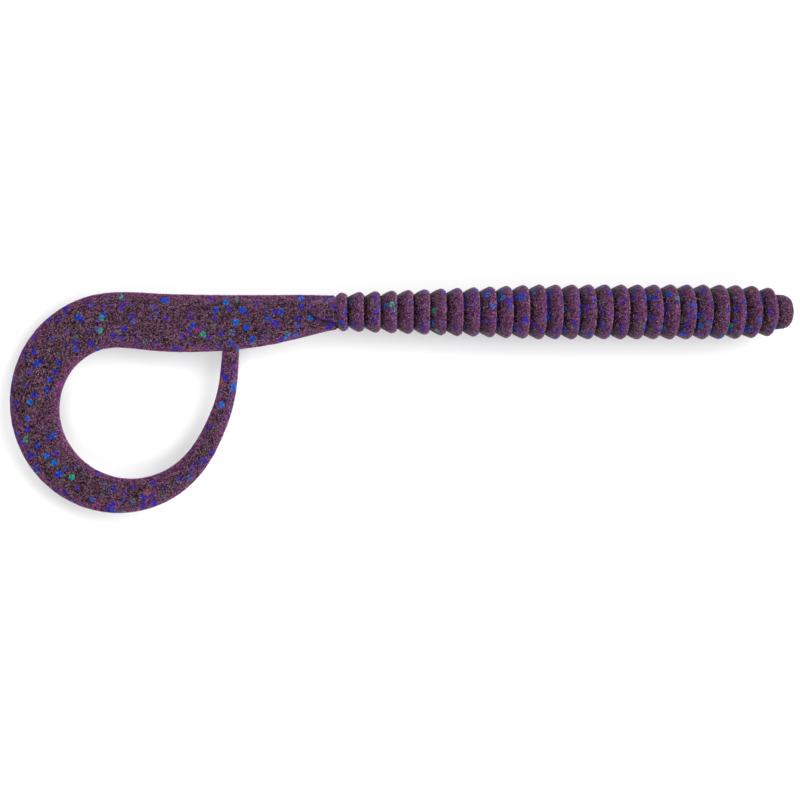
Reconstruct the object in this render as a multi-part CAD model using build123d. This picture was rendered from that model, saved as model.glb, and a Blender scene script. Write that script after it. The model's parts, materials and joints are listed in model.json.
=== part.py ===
from build123d import *

import os
from math import cos, hypot, radians, sin, sqrt, tan

# Ribbed soft plastic worm with a curled ribbon tail, as it comes from its mould.
#
# Frame, in millimetres: the origin is the centre of the flat nose face. +X points out of
# the nose, so the body runs towards -X, and the tail curls in the XY plane towards -Y.
# +Z is up, square to the flat of the tail, and z = 0 is the mould's parting plane.
#
# The real worm is one soft moulding. Here it is divided where it flexes, at the grooves
# between its ribs and across its tail, into short segments that turn on knuckles.

# Body: a nose plug, then ribs at an even pitch, then a smaller collar before the tail
RIB_COUNT = 26
RIB_PITCH = 2.60
FIRST_CREST = 3.74  # from the nose face back to the first rib's crest
CREST_RADIUS = 4.40  # of a full-sized rib
LAST_FULL_RIB = 15  # the body tapers behind this rib
TAPER_PER_RIB = 0.106  # radius lost at each rib behind it
NOSE_SHRINK = 0.50  # radius lost at the first rib
NOSE_SHRINK_KEPT = 0.42  # share of that loss passed on to each next rib
RIB_HEIGHT = 0.75  # from groove to crest
STEEP_FACE = 0.95  # length of a rib's steep face, on its nose side
CREST_ROUNDING = 0.28
COLLAR = RIB_COUNT + 1  # the collar is counted as one rib more

PLUG_BASE_RADIUS = 2.85
PLUG_FRONT_RADIUS = 2.60
PLUG_ROUNDING = 1.20

# Core boss: the rounded end of the body's core, lying along the root of the tail
BOSS_START_RADIUS = 2.30
BOSS_END_RADIUS = 1.10
BOSS_START = 1.30  # behind the collar's crest
BOSS_END = 5.70

# Tail: a ribbon along a line of arcs, each (length, radius), where left turns are positive
TAIL_START = (-72.13, 0.33)
TAIL_START_HEADING = 191.0
TAIL_ARCS = ((33.6, -116.6), (16.9, 13.24), (42.4, 14.33), (18.5, 31.2))
TAIL_HALF_WIDTHS = (
    (0, 2.58),
    (12, 4.16),
    (24, 4.71),
    (36, 4.51),
    (50, 4.25),
    (70, 3.36),
    (90, 2.03),
    (110, 1.28),
)
TAIL_LENGTH = sum(length for length, _ in TAIL_ARCS)
TIP_MEETS_BLADE = 17.0  # where, along the blade, the squared-off tip comes up against its edge
TIP_GAP = 0.10  # left by tearing the moulded web between them
TAIL_ROOT_THICKNESS = 2.0
TAIL_TIP_THICKNESS = 1.3
EDGE_ROUNDING = 0.42  # as a share of the thickness

# Joints in the body: odd ones bend sideways, about Z, and even ones up and down, about Y.
# Both axes are turned a little about the body's line, so that neither lies along a frame axis.
BEND_SKEW = 1.0  # degrees
BODY_SWING = 8.0  # degrees, each way
KNUCKLE_RADIUS = 0.85
CLEARANCE = 0.05
SPARE_ANGLE = 1.0  # degrees of gap left between two end faces at a joint's limit

# Joints in the tail: flap joints bend the ribbon out of its plane, and uncurl joints open
# the curl in its plane. The straight root only flaps. In the curl, every third joint flaps.
TAIL_JOINT_COUNT = 20
TAIL_FIRST_JOINT = 9.0  # along the ribbon's middle line
TAIL_JOINT_PITCH = 4.9
FIRST_CURL_JOINT = 6
UNCURL_SWING = 22.0  # degrees, one way
UNCURL_DISC = 0.45  # radius of an uncurl joint's disc, as a share of the half width
FLAP_NOSE_EXCESS = 0.03  # a flap joint's round nose has half the thickness and this as radius
FLAP_LIP = 0.25  # how far a flap joint's lips stand off its axis, as a share of the thickness

REACH = 12.0  # half size of the tools that cut the joints


def crest_x(rib):
    return -(FIRST_CREST + RIB_PITCH * (rib - 1))


def crest_radius(rib):
    taper = TAPER_PER_RIB * max(0, rib - LAST_FULL_RIB)
    return CREST_RADIUS - taper - NOSE_SHRINK * NOSE_SHRINK_KEPT ** (rib - 1)


def groove_x(joint):
    """The place of the groove on the nose side of a rib, which has the rib's number."""
    return crest_x(joint) + STEEP_FACE


def groove_radius(joint):
    if joint == 1:
        return PLUG_BASE_RADIUS
    return (crest_radius(joint - 1) + crest_radius(joint)) / 2 - RIB_HEIGHT


def tail_point(along):
    """x, y and heading in radians of the tail's middle line, at a distance along it."""
    x, y = TAIL_START
    heading = radians(TAIL_START_HEADING)
    for length, radius in TAIL_ARCS:
        run = min(along, length)
        turned = heading + run / radius
        x += radius * (sin(turned) - sin(heading))
        y -= radius * (cos(turned) - cos(heading))
        heading = turned
        along -= run
        if along <= 0:
            break
    return x, y, heading


def smooth(knots, at):
    """A smooth curve through the knots, whose slope at each comes from its neighbours."""
    last = len(knots) - 1
    here = next((i for i in range(last) if at <= knots[i + 1][0]), last - 1)

    def slope(i):
        before, after = knots[max(i - 1, 0)], knots[min(i + 1, last)]
        return (after[1] - before[1]) / (after[0] - before[0])

    (start, low), (end, high) = knots[here], knots[here + 1]
    span = end - start
    t = (at - start) / span
    blend = t * t * (3 - 2 * t)
    bend = t * (1 - t) * ((1 - t) * slope(here) - t * slope(here + 1))
    return low + (high - low) * blend + span * bend


def half_width(along):
    return smooth(TAIL_HALF_WIDTHS, along)


def thickness(along):
    return TAIL_ROOT_THICKNESS + (TAIL_TIP_THICKNESS - TAIL_ROOT_THICKNESS) * along / TAIL_LENGTH


def tail_joint_place(joint):
    return TAIL_FIRST_JOINT + TAIL_JOINT_PITCH * (joint - 1)


def flaps(joint):
    return joint < FIRST_CURL_JOINT or (joint - FIRST_CURL_JOINT) % 3 == 2


def fan(half_gap, angle_left, angle_right):
    """The prism behind a joint's end face: the face leans forward to each side of the axis."""
    left = half_gap + REACH * tan(radians(angle_left))
    right = half_gap + REACH * tan(radians(angle_right))
    outline = Polyline(
        (half_gap, 0), (left, REACH), (-REACH, REACH), (-REACH, -REACH), (right, -REACH), close=True
    )
    return extrude(make_face(outline), REACH, both=True)


# ---- body ----


def turned(*profile):
    """The solid of revolution about X of a closed profile of (x, radius) points."""
    return revolve(make_face(Polyline(*profile, close=True)), Axis.X)


def rib_blank(rib, tail_x, tail_radius):
    """One rib, before its joints are cut, from its nose-side groove to tail_x."""
    profile = make_face(
        Polyline(
            (tail_x, 0),
            (tail_x, tail_radius),
            (crest_x(rib), crest_radius(rib)),
            (groove_x(rib), groove_radius(rib)),
            (groove_x(rib), 0),
            close=True,
        )
    )
    crest = profile.vertices().sort_by(Axis.Y)[-1]
    return revolve(fillet(crest, CREST_ROUNDING), Axis.X)


def plug_blank():
    """The plain plug in front of the ribs, with a rounded rim round its flat face."""
    flat = PLUG_FRONT_RADIUS - PLUG_ROUNDING
    base_x = groove_x(1)
    side = Line((base_x, PLUG_BASE_RADIUS), (-PLUG_ROUNDING, PLUG_FRONT_RADIUS))
    rim = RadiusArc((-PLUG_ROUNDING, PLUG_FRONT_RADIUS), (0, flat), PLUG_ROUNDING)
    rest = Polyline((0, flat), (0, 0), (base_x, 0), (base_x, PLUG_BASE_RADIUS))
    return revolve(make_face(side + rim + rest), Axis.X)


def hinge_axis(joint):
    angle = radians(BEND_SKEW if joint % 2 else BEND_SKEW + 90)
    return 0, sin(angle), cos(angle)


def body_joint_plane(joint):
    """At the joint, with x to the nose and z along the hinge axis."""
    return Plane(origin=(groove_x(joint), 0, 0), x_dir=(1, 0, 0), z_dir=hinge_axis(joint))


def body_face_cutter():
    lean = (BODY_SWING + SPARE_ANGLE) / 2
    return fan(CLEARANCE / 2, lean, lean)


def cut_socket(blank, joint):
    """Cuts the tail side of a segment to the channel that takes the next one's knuckle."""
    channel = Cylinder(KNUCKLE_RADIUS + CLEARANCE, 2 * REACH)
    return blank - body_joint_plane(joint) * (body_face_cutter() + channel)


def add_knuckle(blank, joint):
    """Cuts the nose side of a segment to its end face, and adds the knuckle on it."""
    face_cutter = Rot(0, 0, 180) * body_face_cutter()
    length = 2 * sqrt(groove_radius(joint) ** 2 - KNUCKLE_RADIUS**2)
    knuckle = Cylinder(KNUCKLE_RADIUS, length)
    place = body_joint_plane(joint)
    return (blank - place * face_cutter) + place * knuckle


def head_plug():
    return cut_socket(plug_blank(), 1)


def rib(number):
    blank = rib_blank(number, groove_x(number + 1), groove_radius(number + 1))
    return add_knuckle(cut_socket(blank, number + 1), number)


# ---- tail ----


def tail_plane(along):
    """At a point of the tail, with x along the ribbon to the tip, and z up."""
    x, y, heading = tail_point(along)
    return Plane(origin=(x, y, 0), x_dir=(cos(heading), sin(heading), 0), z_dir=(0, 0, 1))


def ribbon(start, end, section_count=4):
    """A stretch of the ribbon, lofted through rounded sections square to its middle line."""
    sections = []
    for i in range(section_count):
        along = start + (end - start) * i / (section_count - 1)
        x, y, heading = tail_point(along)
        across = (-sin(heading), cos(heading), 0)
        forward = (cos(heading), sin(heading), 0)
        square = Plane(origin=(x, y, 0), x_dir=across, z_dir=forward)
        rounding = min(EDGE_ROUNDING * thickness(along), 0.9 * half_width(along))
        sections.append(square * RectangleRounded(2 * half_width(along), thickness(along), rounding))
    return loft(sections)


def knuckle_shape(joint, gap):
    """The round part of a tail joint, at its plane: an upright disc or a nose lying across."""
    along = tail_joint_place(joint)
    if flaps(joint):
        return Plane.XZ * Cylinder(thickness(along) / 2 + FLAP_NOSE_EXCESS + gap, 2 * REACH)
    return Cylinder(UNCURL_DISC * half_width(along) + gap, 2 * REACH)


def in_front(joint):
    """What a segment loses at its tip end: all past the joint but the knuckle."""
    beyond = Pos(REACH, 0, 0) * Box(2 * REACH, 2 * REACH, 2 * REACH)
    return tail_plane(tail_joint_place(joint)) * (beyond - knuckle_shape(joint, 0))


def behind(joint):
    """What a segment loses at its root end: the socket, and room for its swing."""
    along = tail_joint_place(joint)
    if flaps(joint):
        lip = FLAP_LIP * thickness(along)
        room = Pos(lip - REACH, 0, 0) * Box(2 * REACH, 2 * REACH, 2 * REACH)
    else:
        room = fan(CLEARANCE, 0, UNCURL_SWING + SPARE_ANGLE)
    return tail_plane(along) * (room + knuckle_shape(joint, CLEARANCE))


def knuckle_reach(joint):
    along = tail_joint_place(joint)
    return hypot(half_width(along) * UNCURL_DISC, thickness(along) / 2)


def tail_root():
    """The collar, the core boss and the blade as far as the first tail joint."""
    collar_back = crest_x(COLLAR) - BOSS_START
    collar = rib_blank(COLLAR, collar_back, BOSS_START_RADIUS)
    boss_end = crest_x(COLLAR) - BOSS_END
    boss = turned(
        (collar_back + RIB_HEIGHT, 0),
        (collar_back + RIB_HEIGHT, BOSS_START_RADIUS),
        (collar_back, BOSS_START_RADIUS),
        (boss_end + BOSS_END_RADIUS, BOSS_END_RADIUS),
        (boss_end + BOSS_END_RADIUS, 0),
    )
    boss_tip = Pos(boss_end + BOSS_END_RADIUS, 0, 0) * Sphere(BOSS_END_RADIUS)
    blade = ribbon(0, tail_joint_place(1) + knuckle_reach(1)) - in_front(1)
    return add_knuckle(collar, COLLAR) + boss + boss_tip + blade


def blade_by_tip():
    """The space that the blade and the gap to the tip take up, where the tip meets them."""
    edge = half_width(TIP_MEETS_BLADE) + TIP_GAP
    return tail_plane(TIP_MEETS_BLADE) * Pos(0, edge - REACH / 2, 0) * Box(REACH, REACH, REACH)


def tail_segment(number):
    """One stretch of the tail, from the joint with its number to the next, or to the tip."""
    start = tail_joint_place(number)
    if number == TAIL_JOINT_COUNT:
        return ribbon(start, TAIL_LENGTH) - behind(number) - blade_by_tip()
    end = tail_joint_place(number + 1) + knuckle_reach(number + 1)
    return ribbon(start, end) - behind(number) - in_front(number + 1)


def main():
    os.makedirs("parts", exist_ok=True)
    export_step(head_plug(), "parts/head_plug.step")
    for number in range(1, RIB_COUNT + 1):
        export_step(rib(number), f"parts/rib_{number:02d}.step")
    export_step(tail_root(), "parts/tail_root.step")
    for number in range(1, TAIL_JOINT_COUNT + 1):
        export_step(tail_segment(number), f"parts/tail_{number:02d}.step")


if __name__ == "__main__":
    main()
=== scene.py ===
import json
from math import ceil, cos, pi, radians, sin

import bpy
import numpy as np
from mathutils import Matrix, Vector, noise

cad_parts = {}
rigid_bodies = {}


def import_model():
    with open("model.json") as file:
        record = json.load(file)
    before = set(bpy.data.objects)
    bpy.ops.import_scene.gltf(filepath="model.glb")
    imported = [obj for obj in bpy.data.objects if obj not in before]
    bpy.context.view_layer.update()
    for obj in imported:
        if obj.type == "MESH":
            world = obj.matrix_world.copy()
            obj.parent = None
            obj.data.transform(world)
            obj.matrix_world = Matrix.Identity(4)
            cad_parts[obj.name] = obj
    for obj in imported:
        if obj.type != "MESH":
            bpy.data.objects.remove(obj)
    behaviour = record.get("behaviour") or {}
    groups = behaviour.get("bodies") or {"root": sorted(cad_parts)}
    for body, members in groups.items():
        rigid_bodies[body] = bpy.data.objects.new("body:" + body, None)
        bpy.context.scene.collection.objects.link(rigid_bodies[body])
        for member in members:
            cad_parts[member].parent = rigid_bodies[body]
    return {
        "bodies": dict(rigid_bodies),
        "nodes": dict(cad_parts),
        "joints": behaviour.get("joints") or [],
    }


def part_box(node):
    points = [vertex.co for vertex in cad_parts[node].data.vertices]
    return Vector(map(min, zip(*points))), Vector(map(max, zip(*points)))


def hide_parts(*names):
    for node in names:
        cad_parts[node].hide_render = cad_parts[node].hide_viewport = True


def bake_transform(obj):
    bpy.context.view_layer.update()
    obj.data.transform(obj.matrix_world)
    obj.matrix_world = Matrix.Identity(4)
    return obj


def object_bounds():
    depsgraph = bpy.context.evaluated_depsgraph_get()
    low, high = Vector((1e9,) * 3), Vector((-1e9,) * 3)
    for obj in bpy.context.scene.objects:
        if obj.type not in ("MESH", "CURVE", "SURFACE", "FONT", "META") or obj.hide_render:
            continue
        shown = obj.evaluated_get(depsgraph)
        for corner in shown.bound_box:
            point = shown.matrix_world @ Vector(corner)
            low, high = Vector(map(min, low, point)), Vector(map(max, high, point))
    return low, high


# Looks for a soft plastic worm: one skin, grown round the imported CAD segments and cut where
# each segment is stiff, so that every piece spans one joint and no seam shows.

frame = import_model()
cad_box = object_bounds()
MM = 0.001

# The skin's rings
GIRTH_POINTS = 120  # points round each ring
BODY_RING_STEP = 0.10 * MM
TAIL_RING_STEP = 0.22 * MM
PLUG_FACE_RINGS = (0.25, 0.6)  # rings across the nose's flat face, as shares of its radius
PLUG_RIM_STEP = 9  # degrees between rings round its rim

# Body
PLUG_RIM = 1.2 * MM  # rounding round the nose's flat face
RIB_DEPTH = 0.57 * MM  # crest to the sharp lip at a rib's nose side
LIP_HEIGHT = 0.23 * MM  # the lip stands this far above the next rib's tail side
TAIL_SLOPE = 1.3  # how a rib falls from its crest on its tail side, as a power
NOSE_SLOPE = 2.2  # and on its nose side
CREST_FORWARD = 0.12 * MM  # the soft crest stands this far nearer the nose than the CAD's
COLLAR_BACK = 1.3 * MM  # the collar's back slope ends this far behind its crest

# Core boss, the round end of the body that lies on the blade's root
BOSS_LENGTH = 5.8 * MM  # behind the collar's crest
BOSS_START_SHARE = 0.76  # of the collar's radius, where the boss leaves the collar
BOSS_END_SHARE = 0.54  # and near its round end
BOSS_ROUNDING = 1.2  # length of that round end, in its own radii
BOSS_DRIFT = 0.45 * MM  # the round end lies this far off the body's line, away from the curl
UNION_SHARPNESS = 14  # of the corner between boss and blade
CREASE_DEPTH = 0.30 * MM  # pressed in round the boss's foot
CREASE_WIDTH = 0.20 * MM

# Blade and tip
NECK_AT = 1.2 * MM  # behind the collar's crest, where the blade has its full section
NECK_SHARE = 0.88  # of the collar's radius, the blade's half width there
BLADE_EDGE = 3.2  # how sharply the blade's section closes at its edges
STREAK = 0.8  # the blade's grain is stretched along it by one over this
TIP_NARROWING = 1.0  # the tip narrows by this share of the last step's narrowing
TIP_OVERLAP = 0.30 * MM  # the tip reaches over the torn gap, to meet the blade
TIP_LEAN = 0.20 * MM  # the drawn tip ends this far nearer the curl's middle than the CAD's
TIP_SLANT = 0.45 * MM  # the tip's far corner reaches this much farther, along the blade's edge
TIP_SLANT_FROM = 1.2 * MM  # before the end

# Reading the CAD points
TIP_FACE_DEPTH = 0.6 * MM  # points this near the tip's far end are on its end face
BESIDE_JOINT = 0.9 * MM  # points this near a joint give the blade's width there
EDGE_SHARE = 0.93  # of the widest of them, for a point to be on the edge
COLLAR_ZONE = 3 * MM  # at the front of the tail's root, where its collar is
CREST_SHARE = 0.99  # of the largest radius, for a point to be on the crest

RIBS = sorted(name for name in frame["nodes"] if name.startswith("rib_"))
TAILS = sorted(name for name in frame["nodes"] if name.startswith("tail_") and name[-1].isdigit())
CHAIN = ["head_plug", *RIBS, "tail_root", *TAILS]
BODY_JOINTS = len(RIBS) + 1


# ---- reading the frame ----


def joint_between(a, b):
    """The frame's joint that joins bodies a and b, whichever is the parent."""
    return next(j for j in frame["joints"] if {j["parent"], j["child"]} == {a, b})


def node_points(name):
    """A CAD node's vertices, in metres."""
    mesh = frame["nodes"][name].data
    points = np.zeros(len(mesh.vertices) * 3, np.float32)
    mesh.vertices.foreach_get("co", points)
    return points.reshape(-1, 3).astype(float)


def natural_spline(knots, values):
    """A function for the natural cubic spline through values at knots; values may be vectors."""
    x = np.asarray(knots, float)
    y = np.asarray(values, float).reshape(len(x), -1)
    h = np.diff(x)
    system = np.eye(len(x))
    right = np.zeros_like(y)
    for i in range(1, len(x) - 1):
        system[i, i - 1 : i + 2] = h[i - 1], 2 * (h[i - 1] + h[i]), h[i]
        right[i] = 6 * ((y[i + 1] - y[i]) / h[i] - (y[i] - y[i - 1]) / h[i - 1])
    bend = np.linalg.solve(system, right)

    def at(s):
        s = np.atleast_1d(np.asarray(s, float))
        i = np.clip(np.searchsorted(x, s) - 1, 0, len(h) - 1)
        a = ((x[i + 1] - s) / h[i])[:, None]
        b = 1 - a
        curve = (a**3 - a) * bend[i] + (b**3 - b) * bend[i + 1]
        return a * y[i] + b * y[i + 1] + curve * h[i, None] ** 2 / 6

    return at


joints = [joint_between(a, b) for a, b in zip(CHAIN, CHAIN[1:])]
joint_points = np.array([j["pos_m"] for j in joints], float)

# The middle line: nose, joints, tip. The tip is the far end of the last segment.
last_points = node_points(TAILS[-1])
tip_face = last_points[last_points[:, 1] > last_points[:, 1].max() - TIP_FACE_DEPTH]
tip_point = (tip_face.min(axis=0) + tip_face.max(axis=0)) / 2
tip_point[1] = tip_face[:, 1].mean()
tip_point[0] -= TIP_LEAN
line_points = np.vstack([[0, 0, 0], joint_points, tip_point])
line_steps = np.linalg.norm(np.diff(line_points, axis=0), axis=1)
line_knots = np.concatenate([[0], np.cumsum(line_steps)])
middle = natural_spline(line_knots, line_points[:, :2])
joint_at = line_knots[1:-1]
END = line_knots[-1] + TIP_OVERLAP


def heading(s, step=0.3 * MM):
    """The middle line's direction at one place, as an angle from +X."""
    run = middle(s + step) - middle(s - step)
    return np.arctan2(run[:, 1], run[:, 0])


def blade_half_width(index):
    """Half the blade's width at a tail joint, from the CAD points beside it."""
    turn = heading(joint_at[BODY_JOINTS + index])[0]
    along = np.array([cos(turn), sin(turn), 0])
    across = np.array([-sin(turn), cos(turn), 0])
    near = CHAIN[BODY_JOINTS + index], CHAIN[BODY_JOINTS + index + 1]
    points = np.vstack([node_points(name) for name in near]) - joint_points[BODY_JOINTS + index]
    beside = points[np.abs(points @ along) < BESIDE_JOINT]
    outward = np.abs(beside @ across)
    edge = outward > EDGE_SHARE * outward.max()
    return np.polyfit((beside @ along)[edge], outward[edge], 1)[1]


# Crests, nose to tail, and the collar last
crest_radius = []
crest_at = []
for name in [*RIBS, "tail_root"]:
    points = node_points(name)
    radius = np.hypot(points[:, 1], points[:, 2])
    if name == "tail_root":
        radius[points[:, 0] < points[:, 0].max() - COLLAR_ZONE] = 0
    crest_radius.append(radius.max())
    crest_at.append(-points[radius > CREST_SHARE * radius.max(), 0].mean())
crest_radius = np.array(crest_radius)
crest_at = np.array(crest_at) - CREST_FORWARD
collar_radius = crest_radius[-1]
collar_at = crest_at[-1]

plug_points = node_points("head_plug")
plug_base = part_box("head_plug")[1].y
on_flat = plug_points[:, 0] > -0.001 * MM
plug_flat = np.hypot(*plug_points[on_flat, 1:].T).max()

boss_end = collar_at + BOSS_LENGTH


# ---- the skin's sections ----


def groove_radius(i):
    """At body joint i, between segment i and the next."""
    if i == 0:
        return plug_base
    return (crest_radius[i - 1] + crest_radius[i]) / 2 - RIB_DEPTH


def rib_radius(s):
    """Radius of the round body at one place: plug, ribs, collar and core boss."""
    if s <= joint_at[0]:
        return plug_base - (plug_base - plug_flat - PLUG_RIM) * (1 - s / joint_at[0])
    i = min(int(np.searchsorted(joint_at[:BODY_JOINTS], s)) - 1, BODY_JOINTS - 1)
    crest = crest_at[i]
    if s <= crest:
        fall = ((crest - s) / (crest - joint_at[i])) ** NOSE_SLOPE
        return crest_radius[i] - fall * (crest_radius[i] - groove_radius(i))
    if i < BODY_JOINTS - 1:
        fall = ((s - crest) / (joint_at[i + 1] - crest)) ** TAIL_SLOPE
        return crest_radius[i] - fall * (crest_radius[i] + LIP_HEIGHT - groove_radius(i + 1))
    return boss_radius(s)


def boss_radius(s):
    """The collar's back slope, then the core boss down to its round end."""
    start = BOSS_START_SHARE * collar_radius
    end = BOSS_END_SHARE * collar_radius
    slope_end = collar_at + COLLAR_BACK
    if s < slope_end:
        t = (s - collar_at) / (slope_end - collar_at)
        return collar_radius + (start - collar_radius) * t * t * (3 - 2 * t)
    if s >= boss_end:
        return 0.0
    t = (s - slope_end) / (boss_end - slope_end)
    cone = start + (end - start) * t
    from_end = (boss_end - s) / (BOSS_ROUNDING * end)
    return cone * min(1.0, (1 - max(0.0, 1 - from_end) ** 2) ** 0.5)


tail_joint_at = joint_at[BODY_JOINTS:]
blade_knots = [collar_at + NECK_AT, *tail_joint_at, line_knots[-1]]
neck_width = NECK_SHARE * collar_radius
joint_widths = [blade_half_width(i) for i in range(len(TAILS))]
tip_width = joint_widths[-1] + TIP_NARROWING * (joint_widths[-1] - joint_widths[-2])
blade_width = natural_spline(blade_knots, [neck_width, *joint_widths, tip_width])
blade_thickness = [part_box(name)[1].z for name in TAILS]


def blade_section(s):
    """Half width and half thickness of the blade at one place, nothing along the body."""
    start = joint_at[BODY_JOINTS - 1]
    if s <= start:
        return 0.0, 0.0
    share = min(1.0, (s - start) / (blade_knots[0] - start))
    width = share * blade_width(max(s, blade_knots[0]))[0, 0]
    height = share * np.interp(s, [*tail_joint_at, END], [*blade_thickness, blade_thickness[-1]])
    return width, height


def boss_offset(s, y, across):
    """Where the core boss's middle lies across the ribbon's, at one place behind the collar."""
    if s <= collar_at:
        return 0.0
    drift = BOSS_DRIFT * min(1.0, (s - collar_at) / (boss_end - collar_at))
    return (drift - y) / across[1]


def ring(s, radius=None):
    """Points round the skin at one place on the middle line, as a girth by 3 array."""
    x, y = middle(s)[0]
    turn = heading(s)[0] if s > joint_at[BODY_JOINTS - 2] else pi
    across = np.array([-sin(turn), cos(turn), 0])
    core = rib_radius(s) if radius is None else radius
    width, height = blade_section(s)
    reach = (core**UNION_SHARPNESS + width**UNION_SHARPNESS) ** (1 / UNION_SHARPNESS)
    angle = 2 * pi * np.arange(GIRTH_POINTS) / GIRTH_POINTS
    side = reach * np.cos(angle)
    core_height = np.sqrt(np.maximum(core**2 - (side - boss_offset(s, y, across)) ** 2, 0))
    closing = np.maximum(1 - np.abs(side / reach) ** BLADE_EDGE, 0)
    blade_height = height * np.sqrt(closing)
    up = (core_height**UNION_SHARPNESS + blade_height**UNION_SHARPNESS) ** (1 / UNION_SHARPNESS)
    rise = np.where(np.sin(angle) < 0, -up, up)
    slanted = max(0.0, 1 - (END - s) / TIP_SLANT_FROM) * TIP_SLANT * (1 - side / reach) / 2
    middle_point = np.array([x, y, 0]) + slanted[:, None] * np.array([cos(turn), sin(turn), 0])
    return middle_point + side[:, None] * across + rise[:, None] * np.array([0, 0, 1])


def stretch(start, end, step):
    """Even places from start up to, but not at, end."""
    count = max(2, ceil((end - start) / step))
    return list(np.linspace(start, end, count, endpoint=False))


# Places of the cuts between pieces, half way between joints, and of all rings
cuts = (joint_at[:-1] + joint_at[1:]) / 2
places = []
rings = []
for share in PLUG_FACE_RINGS:
    places.append(0.0)
    rings.append(ring(0.0, radius=share * plug_flat))
for turn in np.radians(np.arange(0, 90, PLUG_RIM_STEP)):
    places.append(PLUG_RIM * (1 - cos(turn)))
    rings.append(ring(places[-1], radius=plug_flat + PLUG_RIM * sin(turn)))
marks = [PLUG_RIM, joint_at[0], *cuts, END]
plain_places = []
for start, end in zip(marks, marks[1:]):
    step = BODY_RING_STEP if end < boss_end else TAIL_RING_STEP
    plain_places += stretch(start, end, step)
plain_places.append(END)
places = np.array(places + plain_places)
rings = np.array(rings + [ring(s) for s in plain_places])


# ---- surface detail ----

FAR = 1.0  # metres; stands for no distance at all
LIP_WIDTH = 0.32 * MM  # of the ragged lip at a rib's nose side
GROOVE_WIDTH = 0.60 * MM  # of the painted shade at its tail side
PURPLE_AT = 0.75 * MM  # the purple band's middle, behind the lip
PURPLE_WIDTH = 0.55 * MM
BOSS_VISIBLE_FROM = 0.9 * MM  # behind the collar's crest
BOSS_MARGIN = 1.5 * MM  # the blade behind the boss's end that its crease can touch
BOSS_RIM_INSET = 0.40 * MM  # the purple margin and the painted highlight run this far inside the boss's foot
BOSS_RIM_WIDTH = 0.35 * MM

# Relief: how high, and how far apart
LUMP, LUMP_SCALE = 0.035 * MM, 1.1 * MM
RAGGED, RAGGED_SCALE = 0.085 * MM, 0.38 * MM
PORE, PORE_SCALE = 0.018 * MM, 0.30 * MM

# The purple edge of the blade
EDGE_WIDTH = 1.30 * MM
EDGE_WANDER, WANDER_SCALE = 0.5 * MM, 1.6 * MM
EDGE_FADE = 0.9 * MM
# width of the painted rim highlight along the blade's very edge
RIM_LIGHT_WIDTH = 0.10 * MM
BLADE_FROM = 1 * MM  # behind the collar's crest
BLADE_FADE = 2 * MM
MOTTLE, MOTTLE_SCALE = 0.8, 0.5 * MM

# How strongly the shades are laid on, as shares
GROOVE_FALL = 1.4  # power by which the painted shade falls off from a groove
GROOVE_SHADE = 0.75
BODY_TINT = 0.45  # purple all over the body
RIM_HIGHLIGHT = 0.5  # painted pink rim highlight at the blade's very edge
CREASE_OUTER = 0.4  # the crease's depth on the side away from the curl
CREASE_SHADE_OUTER = 0.25  # and how dark its painted shade is there
BOSS_HIGHLIGHT_INNER = 0.1  # painted pink highlight of the boss's rim on the curl's side
BOSS_HIGHLIGHT_OUTER = 0.45  # and on the other

turns = np.where(places < joint_at[BODY_JOINTS - 2], pi, heading(places))
forward = np.stack([np.cos(turns), np.sin(turns), 0 * turns], axis=1)[:, None]
sideways = np.stack([-np.sin(turns), np.cos(turns), 0 * turns], axis=1)[:, None]


def grid_normals(points):
    """Outward unit normals of a grid of rings, and the same ignoring the slope along it."""
    round_it = np.roll(points, -1, axis=1) - np.roll(points, 1, axis=1)
    sloped = np.cross(np.gradient(points, axis=0), round_it)
    plain = np.cross(np.broadcast_to(forward, points.shape), round_it)

    def unit(v):
        return v / np.maximum(np.linalg.norm(v, axis=2, keepdims=True), 1e-12)

    return -unit(sloped), -unit(plain)


def all_round(values):
    """One value for each ring, repeated round it."""
    return np.repeat(values[:, None], GIRTH_POINTS, axis=1)


def noise_field(points, scale, shift=0.0):
    """Smooth noise at each point, about -0.5 to 0.5, with features of one scale."""
    flat = points.reshape(-1, 3) / scale + shift
    values = [noise.noise(Vector(p)) for p in flat]
    return np.array(values).reshape(points.shape[:2])


normals, lie_normals = grid_normals(rings)
outward = np.sign(np.einsum("ijk,ijk->", normals, rings - rings.mean(axis=1, keepdims=True)))
normals *= outward
lie_normals *= outward

# Distance from each place to the next lip towards the tail, and to the last one towards the nose
grooves = joint_at[:BODY_JOINTS]
to_lip = np.where(grooves[:, None] > places, grooves[:, None] - places, FAR).min(axis=0)
from_lip = np.where(grooves[:, None] <= places, places - grooves[:, None], FAR).min(axis=0)
lip = np.exp(-((from_lip / LIP_WIDTH) ** 2))
# painted shade on each rib's tail side, falling off towards the nose from the groove
groove_painted_shade = np.exp(-((to_lip / GROOVE_WIDTH) ** GROOVE_FALL))
purple_band = np.exp(-(((from_lip - PURPLE_AT) / PURPLE_WIDTH) ** 2))

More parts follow.
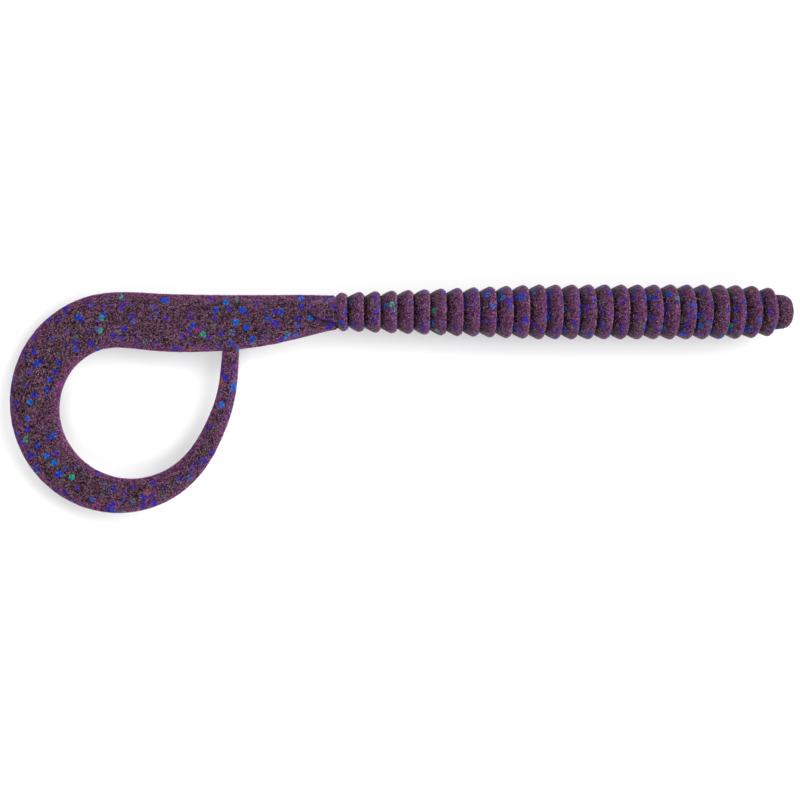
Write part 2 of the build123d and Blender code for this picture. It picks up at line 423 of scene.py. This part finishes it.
# The core boss's foot: how far outside its outline on the blade each point lies
centres = np.concatenate([middle(places), np.zeros((len(places), 1))], axis=1)[:, None]
across_line = ((rings - centres) * sideways).sum(axis=2)
drifts = np.array([boss_offset(s, middle(s)[0, 1], (0, cos(t))) for s, t in zip(places, turns)])
core_radii = np.array([rib_radius(s) for s in places])
blade_heights = np.array([blade_section(s)[1] for s in places])
feet = np.sqrt(np.maximum(core_radii**2 - blade_heights**2, 0))
by_boss = (places > collar_at + BOSS_VISIBLE_FROM) & (places < boss_end + BOSS_MARGIN)
standing = by_boss & (feet > 0)
outline_along = np.tile(places[standing], 2)
outline_across = np.concatenate([(drifts - feet)[standing], (drifts + feet)[standing]])
apart_along = places[by_boss, None, None] - outline_along
apart_across = across_line[by_boss, :, None] - outline_across
apart = np.hypot(apart_along, apart_across).min(axis=2)
inside = np.abs(across_line - drifts[:, None])[by_boss] < feet[by_boss, None]
from_foot = np.full(across_line.shape, FAR)
from_foot[by_boss] = np.where(inside, -apart, apart)
crease = np.exp(-((from_foot / CREASE_WIDTH) ** 2))
# purple margin round the boss, also the mask of its painted highlight
boss_margin_and_highlight = np.exp(-(((from_foot + BOSS_RIM_INSET) / BOSS_RIM_WIDTH) ** 2))
curl_side = rings[:, :, 1] < BOSS_DRIFT

lumps = LUMP * noise_field(rings, LUMP_SCALE)
ragged = RAGGED * noise_field(rings, RAGGED_SCALE, 7.0) * lip[:, None]
pores = PORE * noise_field(rings, PORE_SCALE, 19.0)
creased = CREASE_DEPTH * crease * np.where(curl_side, 1.0, CREASE_OUTER)
rings = rings + normals * (lumps + ragged + pores - creased)[:, :, None]
normals, _ = grid_normals(rings)
normals *= outward

# Along, across and up, with the grain drawn out along the blade
drawn_out = np.where(places < collar_at, places, collar_at + STREAK * (places - collar_at))
flow = np.stack([all_round(drawn_out), across_line, rings[:, :, 2]], axis=2)

# How near each point is to an edge of the blade, 0 to 1
half_widths = np.array([blade_section(s)[0] for s in places])
from_edge = np.maximum(half_widths[:, None] - np.abs(across_line), 0)
on_blade = np.clip((places - collar_at - BLADE_FROM) / BLADE_FADE, 0, 1)[:, None]
wander = EDGE_WANDER * noise_field(rings, WANDER_SCALE, 43.0)
blade_edge = np.clip((EDGE_WIDTH + wander - from_edge) / EDGE_FADE, 0, 1) * on_blade
# painted rim highlight at the blade's very edge
blade_rim_light = np.exp(-from_edge / RIM_LIGHT_WIDTH) * on_blade
mottled = MOTTLE + MOTTLE * noise_field(rings, MOTTLE_SCALE, 57.0)

# How far each point takes the pink painted highlight, the purple and the painted shade, 0 to 1
rim_highlight = RIM_HIGHLIGHT * blade_rim_light
body_tint = BODY_TINT * (1 - on_blade) * mottled
band = np.clip(purple_band[:, None] * mottled + body_tint + blade_edge, 0, 1)
painted_shade = all_round(GROOVE_SHADE * groove_painted_shade)
past = all_round(from_lip / MM)
ahead = all_round(to_lip / MM)

# The core boss: a purple margin with a painted highlight along its rim, strongest away from the
# curl, and painted shade in the crease along its foot, darkest on the curl's side
band = np.maximum(band, boss_margin_and_highlight * mottled)
painted_shade = np.maximum(painted_shade, crease * np.where(curl_side, 1.0, CREASE_SHADE_OUTER))
rim_highlight = np.maximum(rim_highlight, boss_margin_and_highlight * np.where(curl_side, BOSS_HIGHLIGHT_INNER, BOSS_HIGHLIGHT_OUTER))


# ---- the plastic ----


class Net:
    """Short calls for building a node tree."""

    def __init__(self, material):
        material.use_nodes = True
        self.tree = material.node_tree
        self.tree.nodes.clear()

    def node(self, kind, settings=None, **inputs):
        made = self.tree.nodes.new(kind)
        for key, value in (settings or {}).items():
            setattr(made, key, value)
        for key, value in inputs.items():
            socket = made.inputs[int(key[1:]) if key[1:].isdigit() else key.replace("_", " ")]
            if isinstance(value, bpy.types.NodeSocket):
                self.tree.links.new(value, socket)
            else:
                socket.default_value = value
        return made

    def math(self, operation, a, b=0.0):
        return self.node("ShaderNodeMath", {"operation": operation}, i0=a, i1=b).outputs[0]

    def vector(self, operation, a, b=(0, 0, 0)):
        made = self.node("ShaderNodeVectorMath", {"operation": operation}, i0=a, i1=b)
        return made.outputs["Value" if operation == "DOT_PRODUCT" else "Vector"]

    def scaled(self, v, factor):
        made = self.node("ShaderNodeVectorMath", {"operation": "SCALE"}, i0=v)
        socket = made.inputs["Scale"]
        if isinstance(factor, bpy.types.NodeSocket):
            self.tree.links.new(factor, socket)
        else:
            socket.default_value = factor
        return made.outputs["Vector"]

    def attribute(self, name, vector=False):
        made = self.node("ShaderNodeAttribute", {"attribute_name": name})
        return made.outputs["Vector" if vector else "Fac"]

    def smooth(self, value, low, high, to_low=0.0, to_high=1.0):
        settings = {"interpolation_type": "SMOOTHSTEP"}
        ends = {"i1": low, "i2": high, "i3": to_low, "i4": to_high}
        made = self.node("ShaderNodeMapRange", settings, i0=value, **ends)
        return made.outputs[0]

    def mix(self, factor, a, b):
        made = self.node("ShaderNodeMix", {"data_type": "RGBA"}, i0=factor, i6=a, i7=b)
        return made.outputs[2]

    def ramp(self, value, stops, constant=False):
        made = self.node("ShaderNodeValToRGB", i0=value)
        made.color_ramp.interpolation = "CONSTANT" if constant else "LINEAR"
        elements = made.color_ramp.elements
        while len(elements) < len(stops):
            elements.new(1.0)
        for element, (position, color) in zip(elements, stops):
            element.position = position
            element.color = (*color, 1)
        return made.outputs[0]

    def noise(self, vector, scale, detail=2.0, roughness=0.5, distortion=0.0):
        made = self.node("ShaderNodeTexNoise", i0=vector, Scale=scale, Detail=detail)
        made.inputs["Roughness"].default_value = roughness
        made.inputs["Distortion"].default_value = distortion
        return made.outputs[0]


# Plastic, linear colours. Each grain ramp runs over the same noise.
BROWN_GRAIN = (
    (0.38, (0.005, 0.002, 0.004)),
    (0.50, (0.034, 0.014, 0.025)),
    (0.62, (0.108, 0.054, 0.076)),
)
PURPLE_GRAIN = (
    (0.36, (0.024, 0.004, 0.021)),
    (0.50, (0.078, 0.018, 0.068)),
    (0.64, (0.160, 0.052, 0.135)),
)
# pink of the painted highlights on the lips and rims
HIGHLIGHT_PINK_GRAIN = (
    (0.36, (0.110, 0.028, 0.090)),
    (0.50, (0.290, 0.105, 0.220)),
    (0.64, (0.520, 0.270, 0.420)),
)
FOIL_GRAIN = ((0.38, (0.45, 0.45, 0.45)), (0.62, (1.25, 1.25, 1.25)))
SHADOW = (0.003, 0.001, 0.003, 1)
TAN = (0.260, 0.160, 0.160, 1)
FROST = (0.420, 0.300, 0.400, 1)

# Textures: features to the millimetre, and how strongly each shade is laid on
CLOUD_SCALE = 0.40
GRAIN_SCALE = 3.0
SPECK_SCALE = 4.2
CRUMB_SCALE = 3.4
FROST_SCALE = 6.5
CLOUD_FADE = (0.46, 0.66)
FLECK_FADE = (0.62, 0.72)
FROST_FADE = (0.68, 0.78)
CLOUD_PURPLE = 0.35
BAND_PURPLE = 0.85
# how dark the painted shade in the grooves and the boss's crease goes
PAINTED_SHADE_DARK = 0.92
# how far the painted rim highlights go
RIM_HIGHLIGHT_PINK = 0.90
FLECK_TAN = 0.45
FROST_PALE = 0.50
# how far the painted highlight on each lip goes
LIP_HIGHLIGHT = 0.75
FINE_RELIEF = 0.06 * MM
GRAIN_HEIGHT = 0.6  # share of the grain in that relief
SPECK_HEIGHT = 0.4  # and of the specks

# Rib edges, mm from the lip: how ragged the painted shadow and the painted highlight are, and where
# they fade
SHADOW_RAGGED, SHADOW_FADE = 2.6, (0.30, 0.60)
HIGHLIGHT_RAGGED, HIGHLIGHT_FADE = 1.3, (0.02, 0.22)
ROUGHNESS = 0.40
GLOSS = 0.05

# Glitter
FLAKE_RADIUS = 0.45  # mm, centre to flat
FLAKE_CELL = 1.75  # mm, one flake in each such cell of a layer
FLAKE_SCATTER = 0.85  # how far flakes stray from an even grid
FLAKE_TILT = 0.18  # how far a flake turns from lying along the skin
FLAKE_BLUR = 0.03  # mm, half the width of its edge
FLAKE_DEPTH = 0.55  # mm, the deepest that can be seen
FLAKE_UNDER = (-0.05, 0.0)  # mm of depth, over which a flake comes in
FLAKE_LAYERS = 3
LAYER_SHIFT = 11.0  # in cells, so that no two layers match
FLAKE_SECTORS = 0.35  # three sectors of each flake are this much brighter, and three darker
FLAKE_DOT = 0.45  # brightness at a flake's centre
FLAKE_DOT_EDGE = (0.05, 0.15)  # mm from there, over which it ends
FLAKE_IN_PAINTED_SHADE = 0.35  # brightness of a flake that lies in a groove's painted shade
FLAKE_LIT = (0.10, 0.70)  # mm from the lip, over which the painted shade on flakes lifts
BLUE = (0.004, 0.050, 0.420)
AZURE = (0.002, 0.110, 0.480)
INDIGO = (0.030, 0.020, 0.300)
VIOLET = (0.070, 0.024, 0.220)
TEAL = (0.015, 0.250, 0.170)
SMOKE = (0.075, 0.085, 0.100)
MAGENTA = (0.180, 0.025, 0.150)
COPPER = (0.240, 0.070, 0.040)
FLAKE_COLOURS = (
    (0.00, BLUE),
    (0.18, AZURE),
    (0.26, INDIGO),
    (0.58, VIOLET),
    (0.82, SMOKE),
    (0.92, TEAL),
    (0.975, MAGENTA),
    (0.99, COPPER),
)


def flake_layer(net, place, lie, shift):
    """One layer of flakes: how much of a flake shows, and its colour."""
    at = net.vector("ADD", net.scaled(place, 1 / FLAKE_CELL), (shift, 2.7 * shift, 1.3 * shift))
    cell = net.node("ShaderNodeTexVoronoi", Vector=at, Scale=1.0, Randomness=FLAKE_SCATTER)
    centre = cell.outputs["Position"]
    seed = net.scaled(centre, 37.0)
    draw = net.node("ShaderNodeTexWhiteNoise", {"noise_dimensions": "3D"}, Vector=seed)
    wobble = net.vector("SUBTRACT", draw.outputs["Color"], (0.5, 0.5, 0.5))
    facing = net.vector("NORMALIZE", net.vector("ADD", lie, net.scaled(wobble, 2 * FLAKE_TILT)))
    apart = net.scaled(net.vector("SUBTRACT", at, centre), FLAKE_CELL)
    slant = net.vector("DOT_PRODUCT", lie, facing)
    depth = net.math("DIVIDE", net.vector("DOT_PRODUCT", apart, facing), slant)
    inside = net.vector("SUBTRACT", apart, net.scaled(lie, depth))
    spun = net.vector("SUBTRACT", cell.outputs["Color"], (0.5, 0.5, 0.5))
    first = net.vector("NORMALIZE", net.vector("CROSS_PRODUCT", facing, spun))
    second = net.vector("CROSS_PRODUCT", facing, first)
    u = net.vector("DOT_PRODUCT", inside, first)
    v = net.vector("DOT_PRODUCT", inside, second)

    # Distance from the centre, square to the side of the hexagon that faces this way
    x = net.math("ABSOLUTE", u)
    y = net.math("ABSOLUTE", v)
    slope_side = net.math("ADD", net.math("MULTIPLY", x, 0.5), net.math("MULTIPLY", y, 0.866))
    hexagon = net.math("MAXIMUM", x, slope_side)
    shape = net.smooth(hexagon, FLAKE_RADIUS - FLAKE_BLUR, FLAKE_RADIUS + FLAKE_BLUR, 1.0, 0.0)
    under = net.smooth(depth, *FLAKE_UNDER)
    seen = net.smooth(depth, 0.0, FLAKE_DEPTH, 1.0, 0.0)
    shown = net.math("MULTIPLY", net.math("MULTIPLY", shape, under), seen)
    colour = net.ramp(draw.outputs["Value"], FLAKE_COLOURS, constant=True)
    sector = net.math("COSINE", net.math("MULTIPLY", net.math("ARCTAN2", v, u), 3.0))
    sheen = net.math("ADD", net.math("MULTIPLY", sector, FLAKE_SECTORS), 1.0)
    dot = net.smooth(hexagon, *FLAKE_DOT_EDGE, FLAKE_DOT, 1.0)
    return shown, net.scaled(colour, net.math("MULTIPLY", sheen, dot))


def plastisol():
    """Dark purple plastic with a fine grain, painted highlights on the lips, painted shade in the
    grooves and glitter under its skin.
    """
    material = bpy.data.materials.new("plastisol_glitter")
    net = Net(material)
    place = net.scaled(net.attribute("rest", vector=True), 1 / MM)
    lie = net.vector("NORMALIZE", net.attribute("lie", vector=True))
    # painted pink highlight along the blade's edge and the boss's rim
    rim_highlight_here = net.attribute("rim_highlight")
    band_here = net.attribute("band")
    # painted shade of the grooves and the boss's crease
    painted_shade_here = net.attribute("painted_shade")

    flow = net.scaled(net.attribute("flow", vector=True), 1 / MM)
    cloud = net.noise(flow, CLOUD_SCALE, detail=3.0)
    grain = net.noise(flow, GRAIN_SCALE, detail=3.0, roughness=0.65, distortion=0.8)
    speck = net.noise(net.vector("ADD", flow, (5, 5, 5)), SPECK_SCALE, detail=1.0)
    brown = net.ramp(grain, BROWN_GRAIN)
    purple = net.ramp(grain, PURPLE_GRAIN)
    # pink for the painted highlights on lips and rims
    pink = net.ramp(grain, HIGHLIGHT_PINK_GRAIN)
    patch = net.smooth(cloud, *CLOUD_FADE)
    base = net.mix(net.math("MULTIPLY", patch, CLOUD_PURPLE), brown, purple)
    base = net.mix(net.math("MULTIPLY", band_here, BAND_PURPLE), base, purple)
    # painted shade in the grooves and the boss's crease
    base = net.mix(net.math("MULTIPLY", painted_shade_here, PAINTED_SHADE_DARK), base, SHADOW)

    # Each rib's crumbly painted shadow on its tail side, and the beaded pink painted highlight on
    # its lip, by distance in mm
    crumb = net.math("SUBTRACT", net.noise(place, CRUMB_SCALE, roughness=0.6), 0.5)
    ahead = net.math("ADD", net.attribute("ahead"), net.math("MULTIPLY", crumb, SHADOW_RAGGED))
    base = net.mix(net.smooth(ahead, *SHADOW_FADE, 1.0, 0.0), base, SHADOW)
    past = net.math("ADD", net.attribute("past"), net.math("MULTIPLY", crumb, HIGHLIGHT_RAGGED))
    base = net.mix(net.smooth(past, *HIGHLIGHT_FADE, LIP_HIGHLIGHT, 0.0), base, pink)
    # painted rim highlight along the blade's edge and the boss's rim
    base = net.mix(net.math("MULTIPLY", rim_highlight_here, RIM_HIGHLIGHT_PINK), base, pink)
    open_here = net.math("SUBTRACT", 1.0, painted_shade_here)
    fleck = net.math("MULTIPLY", net.smooth(speck, *FLECK_FADE), open_here)
    base = net.mix(net.math("MULTIPLY", fleck, FLECK_TAN), base, TAN)

    frost = net.noise(net.vector("ADD", place, (9, 4, 2)), FROST_SCALE, detail=0.0)
    base = net.mix(net.smooth(frost, *FROST_FADE, 0.0, FROST_PALE), base, FROST)

    # painted shade on the flakes near each groove
    lit = net.smooth(ahead, *FLAKE_LIT, FLAKE_IN_PAINTED_SHADE, 1.0)
    foil = net.ramp(grain, FOIL_GRAIN)
    for layer in range(FLAKE_LAYERS):
        shown, flake_colour = flake_layer(net, place, lie, LAYER_SHIFT * (layer + 1))
        foiled = net.scaled(net.vector("MULTIPLY", flake_colour, foil), lit)
        base = net.mix(shown, base, foiled)

    grain_height = net.math("MULTIPLY", grain, GRAIN_HEIGHT)
    speck_height = net.math("MULTIPLY", speck, SPECK_HEIGHT)
    bump_height = net.math("ADD", grain_height, speck_height)
    bump = net.node("ShaderNodeBump", Strength=0.55, Distance=FINE_RELIEF, Height=bump_height)
    surface = net.node(
        "ShaderNodeBsdfPrincipled",
        Base_Color=base,
        Roughness=ROUGHNESS,
        Specular_IOR_Level=GLOSS,
        Normal=bump.outputs[0],
    )
    out = net.node("ShaderNodeOutputMaterial")
    net.tree.links.new(surface.outputs[0], out.inputs[0])
    return material


# ---- pieces ----

BEND_SHARE = 0.98  # of the way from a joint to its piece's ends, for the reach that bend_reach gives back


def skin_piece(name, first, last, material):
    """The closed stretch of skin from ring first to ring last."""
    block = slice(first, last + 1)
    points = rings[block].reshape(-1, 3)
    ring_count = last - first + 1
    ends = np.array([rings[first].mean(axis=0), rings[last].mean(axis=0)])
    faces = []
    for i in range(ring_count - 1):
        for j in range(GIRTH_POINTS):
            k = (j + 1) % GIRTH_POINTS
            a = i * GIRTH_POINTS
            b = a + GIRTH_POINTS
            faces.append((a + j, a + k, b + k, b + j))
    side_faces = len(faces)
    front, back = len(points), len(points) + 1
    final = (ring_count - 1) * GIRTH_POINTS
    for j in range(GIRTH_POINTS):
        k = (j + 1) % GIRTH_POINTS
        faces.append((front, k, j))
        faces.append((back, final + j, final + k))
    mesh = bpy.data.meshes.new(name)
    mesh.from_pydata(np.vstack([points, ends]).tolist(), [], faces)
    mesh.polygons.foreach_set("use_smooth", [True] * len(faces))
    corner_vertex = np.zeros(len(mesh.loops), np.int32)
    mesh.loops.foreach_get("vertex_index", corner_vertex)
    end_normals = np.array([normals[first].mean(axis=0), normals[last].mean(axis=0)])
    vertex_normals = np.vstack([normals[block].reshape(-1, 3), end_normals])
    corner_normals = vertex_normals[corner_vertex]
    for polygon in mesh.polygons[side_faces:]:
        for corner in polygon.loop_indices:
            corner_normals[corner] = polygon.normal
    mesh.normals_split_custom_set(corner_normals.tolist())

    def keep(attribute, kind, field, values, key):
        side = values[block].reshape(-1, field)
        middles = values[[first, last]].mean(axis=1).reshape(-1, field)
        ends_too = np.concatenate([side, middles])
        layer = mesh.attributes.new(attribute, kind, "POINT")
        layer.data.foreach_set(key, ends_too.astype(np.float32).ravel())

    keep("rest", "FLOAT_VECTOR", 3, rings, "vector")
    keep("lie", "FLOAT_VECTOR", 3, lie_normals, "vector")
    keep("flow", "FLOAT_VECTOR", 3, flow, "vector")
    keep("rim_highlight", "FLOAT", 1, rim_highlight, "value")
    keep("band", "FLOAT", 1, band, "value")
    keep("painted_shade", "FLOAT", 1, painted_shade, "value")
    keep("past", "FLOAT", 1, past, "value")
    keep("ahead", "FLOAT", 1, ahead, "value")
    mesh.materials.append(material)
    piece = bpy.data.objects.new(name, mesh)
    bpy.context.scene.collection.objects.link(piece)
    return piece


def ring_at(place):
    """The ring nearest to one place."""
    return int(np.abs(places - place).argmin())


def bend_reach(index, first, last):
    """How near a joint its piece's end rings come, measured along the joint's heading."""
    turn = heading(joint_at[index])[0]
    along = np.array([cos(turn), sin(turn), 0])
    before = (joint_points[index] - rings[first]) @ along
    after = (rings[last] - joint_points[index]) @ along
    ends = [after.min()] if index == 0 else [before.min(), after.min()]
    if index == len(joints) - 1:
        ends = [before.min()]
    return along, BEND_SHARE * min(ends)


def build_skin():
    """One piece across each joint, cut half way to the next."""
    material = plastisol()
    stops = [0, *[ring_at(c) for c in cuts], len(places) - 1]
    for index, (first, last) in enumerate(zip(stops, stops[1:])):
        kind = "body_skin" if index < BODY_JOINTS else "tail_skin"
        number = index + 1 if index < BODY_JOINTS else index + 1 - BODY_JOINTS
        piece = skin_piece(f"{kind}_{number:02d}", first, last, material)
        along, reach = bend_reach(index, first, last)
        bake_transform(piece)
        stands_for = CHAIN[index : index + 2] if index == 0 else [CHAIN[index + 1]]
        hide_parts(*stands_for)


build_skin()


# ---- floor, light and camera ----

FLOOR_SPAN = 12.0  # metres
FLOOR_ALBEDO = (0.80, 0.80, 0.80)
FLOOR_GLOW = 0.20
FLOOR_CLEARANCE = 0.05 * MM  # under the CAD, for the skin's own roughness
ROOM_LOW = 0.85  # brightness of the room at the horizon
ROOM_HIGH = 0.08  # and overhead
ROOM_HIGH_FROM = 0.85  # height of a direction, 1 straight up, from which it is so dark
LIGHT_WIDTH = 40  # degrees across each light, so that shadows stay soft
LIGHTS = (("key", 15, 42, 2.5), ("fill", -85, 48, 1.5), ("back", 95, 48, 1.1))
VIEW_WIDTH = 127.2 * MM  # seen across the picture, at the height of the middle line
VIEW_DISTANCE = 190 * MM
SENSOR_WIDTH = 36  # the camera's own unit, mm
LOOK_BELOW_AXIS = 14.0 * MM  # the picture's centre lies this far from the body's line
FRAME_ROOM = 62.3 * MM  # from the picture's centre to the farthest marker it may show
FRAME_MARGIN = 1.15  # power by which the view widens when a pose reaches farther, for perspective


def markers():
    """Empties under the middle line, each carried by its body, so a pose's extent can be read."""
    under = np.vstack([line_points[0], joint_points, tip_point])
    carriers = [CHAIN[0], *CHAIN]
    made = []
    for number, (point, carrier) in enumerate(zip(under, carriers)):
        marker = bpy.data.objects.new(f"marker_{number:02d}", None)
        marker.empty_display_size = MM
        marker.parent = frame["bodies"][carrier]
        marker.location = (point[0], point[1], cad_box[0][2] - FLOOR_CLEARANCE)
        bpy.context.scene.collection.objects.link(marker)
        made.append(marker)
    return made


def driven(owner, path, kind, axis, sources, index=-1, expression=""):
    """Lets a value follow where other objects are, along one axis or, by name, several."""
    driver = owner.driver_add(path, index).driver
    driver.type = kind
    for number, source in enumerate(sources):
        variable = driver.variables.new()
        variable.name = f"v{number}"
        variable.type = "TRANSFORMS"
        variable.targets[0].id = source
        variable.targets[0].transform_type = f"LOC_{axis[number % len(axis)]}"
        variable.targets[0].transform_space = "WORLD_SPACE"
    if kind == "SCRIPTED":
        driver.expression = expression


def plain_floor(carried):
    """A pale sheet that stays under the lowest marker, whatever the pose."""
    mesh = bpy.data.meshes.new("floor")
    half = FLOOR_SPAN / 2
    corners = [(-half, -half, 0), (half, -half, 0), (half, half, 0), (-half, half, 0)]
    mesh.from_pydata(corners, [], [(0, 1, 2, 3)])
    floor = bpy.data.objects.new("floor", mesh)
    bpy.context.scene.collection.objects.link(floor)
    material = bpy.data.materials.new("floor_paper")
    net = Net(material)
    surface = net.node("ShaderNodeBsdfPrincipled", Base_Color=(*FLOOR_ALBEDO, 1), Roughness=0.9)
    surface.inputs["Emission Color"].default_value = (1, 1, 1, 1)
    surface.inputs["Emission Strength"].default_value = FLOOR_GLOW
    out = net.node("ShaderNodeOutputMaterial")
    net.tree.links.new(surface.outputs[0], out.inputs[0])
    mesh.materials.append(material)
    driven(floor, "location", "MIN", "Z", carried, index=2)


def soft_light(name, bearing, height, power):
    """A wide even light from a compass bearing (from +X towards +Y) and a height, in degrees."""
    data = bpy.data.lights.new(name, "SUN")
    data.angle = radians(LIGHT_WIDTH)
    data.energy = power
    lamp = bpy.data.objects.new(name, data)
    a, b = radians(bearing), radians(height)
    towards = Vector((cos(a) * cos(b), sin(a) * cos(b), sin(b)))
    lamp.rotation_euler = towards.to_track_quat("Z", "Y").to_euler()
    bpy.context.scene.collection.objects.link(lamp)


def studio():
    """A white room, brighter low down than overhead, that the camera sees as plain white."""
    world = bpy.data.worlds.new("studio")
    net = Net(world)
    way = net.node("ShaderNodeTexCoord").outputs["Generated"]
    height = net.node("ShaderNodeSeparateXYZ", i0=way).outputs["Z"]
    ends = {"i1": 0.0, "i2": ROOM_HIGH_FROM, "i3": ROOM_LOW, "i4": ROOM_HIGH}
    level = net.node("ShaderNodeMapRange", i0=height, **ends).outputs[0]
    seen = net.node("ShaderNodeLightPath").outputs["Is Camera Ray"]
    strength = net.math("MAXIMUM", level, seen)
    background = net.node("ShaderNodeBackground", Color=(1, 1, 1, 1), Strength=strength)
    out = net.node("ShaderNodeOutputWorld")
    net.tree.links.new(background.outputs[0], out.inputs[0])
    bpy.context.scene.world = world
    for name, bearing, height, power in LIGHTS:
        soft_light(name, bearing, height, power)


def overhead_camera(carried):
    """Looks straight down; its lens widens when a pose reaches beyond the picture."""
    data = bpy.data.cameras.new("overhead")
    data.sensor_width = SENSOR_WIDTH
    data.lens = SENSOR_WIDTH * VIEW_DISTANCE / VIEW_WIDTH
    data.clip_start = 5 * MM
    camera = bpy.data.objects.new("overhead", data)
    camera.location = ((cad_box[0][0] + cad_box[1][0]) / 2, -LOOK_BELOW_AXIS, VIEW_DISTANCE)
    bpy.context.scene.collection.objects.link(camera)
    bpy.context.scene.camera = camera
    reach = []
    for kind in ("MIN", "MAX"):
        limit = bpy.data.objects.new(f"reach_{kind.lower()}", None)
        bpy.context.scene.collection.objects.link(limit)
        driven(limit, "location", kind, "X", carried, index=0)
        driven(limit, "location", kind, "Y", carried, index=1)
        reach += [limit, limit]
    x, y = camera.location.x, camera.location.y
    farthest = f"max(v2 - {x}, {x} - v0, v3 - {y}, {y} - v1)"
    widen = f"{data.lens} * min(1, pow({FRAME_ROOM} / {farthest}, {FRAME_MARGIN}))"
    driven(data, "lens", "SCRIPTED", "XY", reach, expression=widen)


carried = markers()
plain_floor(carried)
studio()
overhead_camera(carried)
bpy.context.scene.view_settings.view_transform = "Standard"
